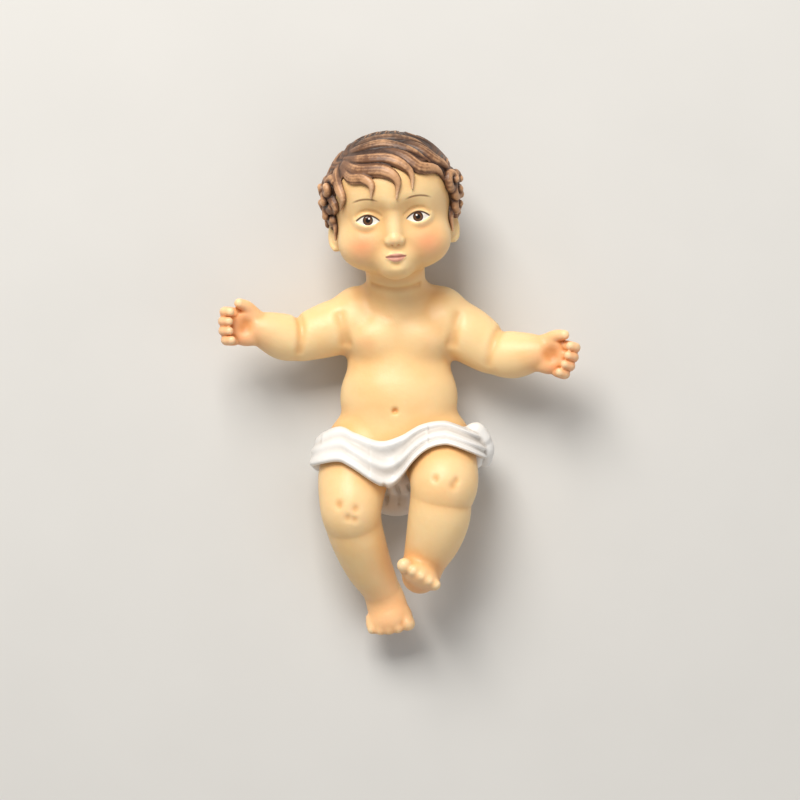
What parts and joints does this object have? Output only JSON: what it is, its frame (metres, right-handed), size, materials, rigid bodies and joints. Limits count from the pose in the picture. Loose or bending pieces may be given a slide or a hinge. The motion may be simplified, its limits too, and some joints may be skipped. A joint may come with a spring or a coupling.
{
  "type": "baby figure",
  "caption": "Small painted resin figure of a baby lying on its back, arms held out, curly hair, white loincloth knotted at the hip.",
  "frame": {"origin": "on the flat of the back that the figure lies on, level with the chest", "axes": "+X to the figure's left hand, +Y to its crown, +Z out of its chest"},
  "size_m": [0.0501, 0.0702, 0.0218],
  "materials": {
    "painted_resin": "cast resin, hand painted: warm cream skin with orange in its creases, satin",
    "skin_paint": "satin paint, warm cream with an orange wash",
    "hair_paint": "dark brown paint, dry brushed with tan",
    "cloth_paint": "white satin paint, grey beige in its folds"
  },
  "bodies": {
    "root": {"infant_figure": "painted_resin"}
  },
  "joints": []
}
